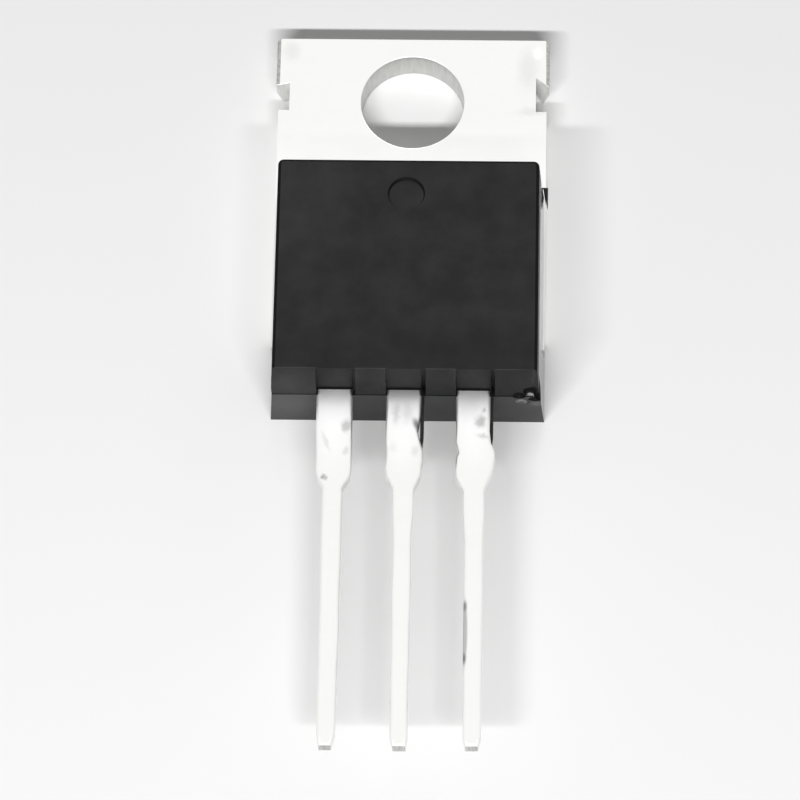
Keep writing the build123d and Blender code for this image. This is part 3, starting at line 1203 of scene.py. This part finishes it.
# painted highlights: pale patches that stand for the glints on the chip's facets
CHIP_GLINTS = (
    Mark((4.55, -12.9, 3.09), (0.3, 0.3, 0.06), 1.0, "#969694"),
    Mark((4.19, -12.92, 2.42), (0.3, 0.3, 0.28), 0.9, "#989896"),
)
RECESSES = (
    Recess(-3.19, -1.91, 0.24), Recess(-1.88, -1.8, 0.12),
    Recess(-0.68, 0.58, 0.24), Recess(0.61, 0.73, 0.32),
    Recess(1.84, 3.07, 0.24), Recess(3.1, 3.21, 0.32),
)
WEBS = (0.58, 3.07)


def dress_inner_pieces(nodes: dict[str, bpy.types.Object]) -> None:
    """Gives the sealed pieces their finishes.

    Args:
        nodes: The frame's nodes by name.
    """
    silicon = SealedMetal(name="polished_silicon", base="#5A5D63", cloud="#4C4F55", roughness=0.15,
                         metallic=0.6).build()
    solder = SealedMetal(name="reflowed_solder", base="#B9B9B6", cloud="#9C9C99").build()
    wire = SealedMetal(name="drawn_aluminium").build()
    finishes = {"silicon_die": silicon, "die_attach_solder": solder}
    finishes.update({name: wire for name in nodes if "bond_wire" in name})
    for name, finish in finishes.items():
        for place in nodes[name].material_slots:
            place.material = finish
        log.info("%s: %s", name, finish.name)


def main() -> None:
    """Builds the part's looks piece by piece, then the studio."""
    logging.basicConfig(level=logging.INFO, format="%(name)s %(message)s")
    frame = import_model()
    cut = ShearedCopper(name="cut_lead_end", base="#D2D2D0", cloud="#B4B4B2").build()
    GATE.build([MattTinPlate(GATE_MARKS, name="tin_plated_gate").build(), cut])
    SOURCE.build([MattTinPlate(SOURCE_MARKS, name="tin_plated_source").build(), cut])
    MountingPlate(drain=DRAIN).build([
        MattTinPlate(DRAIN_MARKS).build(), cut, ShearedCopper().build(),
        ShearedCopper(name="punched_hole_wall", base="#CBCBC9", cloud="#C1C1BF").build(),
        # paler and less metallic than the tin: painted light that lifts the notch walls out of the shade
        # they mirror
        ShearedCopper(name="punched_notch_wall_painted_light", base="#E6E6E4", cloud="#DADAD8",
                      metallic=0.4).build()])
    resin = {
        Resin.FRONT: MouldedEpoxy(RESIN_MARKS, base="#1A1A1B", cloud="#252526"),
        # near-black base paints the shade in the chip's hollows; its marks paint their glints
        Resin.FRACTURE: MouldedEpoxy(CHIP_GLINTS, name="fractured_epoxy_painted_shade", base="#020202",
                                     cloud="#0A0A0A", roughness=0.5, specular=0.1,
                                     cloud_size=0.25),
        # near-black copy of the epoxy: paints the shade along rounded edges, bleed lips and the pin
        # mark's upper wall
        Resin.EDGE: MouldedEpoxy(name="rounded_epoxy_edge_painted_shade", base="#0A0A0B", cloud="#0D0D0E",
                                 roughness=0.6, specular=0.08),
        Resin.WALL: MouldedEpoxy(name="drawn_epoxy_wall", roughness=0.1, specular=0.8,
                                 grain_height=0.001),
        # rougher, and darker than the front: painted shade in the lead pockets
        Resin.POCKET: MouldedEpoxy(name="eroded_epoxy_pocket_painted_shade", roughness=0.7, specular=0.15),
    }
    MouldedBody(RECESSES, WEBS).build([resin[place].build() for place in Resin])
    dress_inner_pieces(frame["nodes"])
    Studio().build()


if __name__ == "__main__":
    main()
